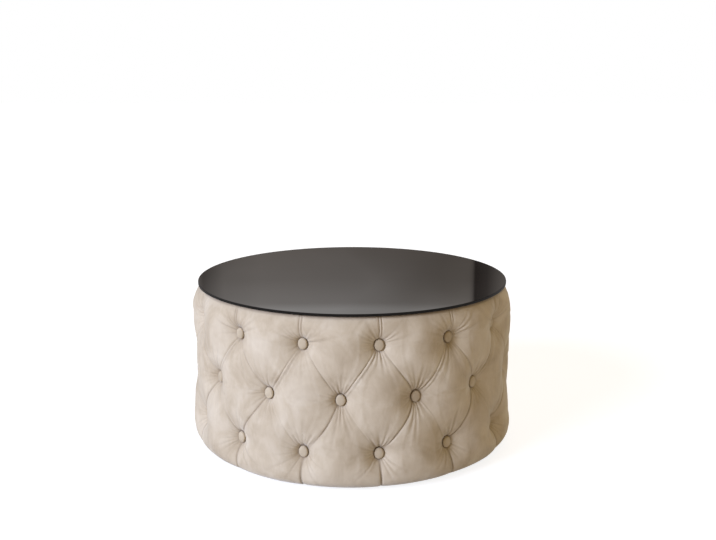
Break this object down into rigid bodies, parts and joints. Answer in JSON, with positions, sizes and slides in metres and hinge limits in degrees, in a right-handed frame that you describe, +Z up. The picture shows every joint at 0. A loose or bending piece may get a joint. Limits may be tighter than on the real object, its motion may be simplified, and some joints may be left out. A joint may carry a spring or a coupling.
{
  "type": "ottoman coffee table",
  "caption": "Round drum ottoman coffee table with a deep-buttoned velvet side and a loose dark glass plate as its top.",
  "frame": {"origin": "on the floor, under the middle of the drum", "axes": "+Z up, along the drum's axis; -Y towards the picture's viewer, +X to the viewer's right"},
  "size_m": [0.8004, 0.8004, 0.4],
  "materials": {
    "dark_glass": "polished",
    "velvet": "matte",
    "button_velvet": "matte",
    "foam": "matte",
    "plywood": "matte",
    "bent_plywood": "matte",
    "softwood": "matte",
    "twine": "satin",
    "black_cloth": "matte",
    "black_plastic": "satin",
    "clear_pad": "satin"
  },
  "bodies": {
    "drum": {"top_board": "plywood", "base_board": "plywood", "upright_1": "softwood", "upright_2": "softwood", "upright_3": "softwood", "upright_4": "softwood", "upright_5": "softwood", "upright_6": "softwood", "upright_7": "softwood", "upright_8": "softwood", "side_skin": "bent_plywood", "foam_wrap": "foam", "tufted_cover": "velvet", "tuft_buttons_bottom": "button_velvet", "tuft_buttons_middle": "button_velvet", "tuft_buttons_top": "button_velvet", "tuft_twines_bottom": "twine", "tuft_twines_middle": "twine", "tuft_twines_top": "twine", "dust_cover": "black_cloth", "glides": "black_plastic", "glass_pads": "clear_pad"},
    "glass": {"glass_top": "dark_glass"}
  },
  "joints": [
    {"name": "glass_lift", "type": "slide", "parent": "drum", "child": "glass", "axis": [0, 0, 1], "range_m": [0, 0.15]}
  ]
}
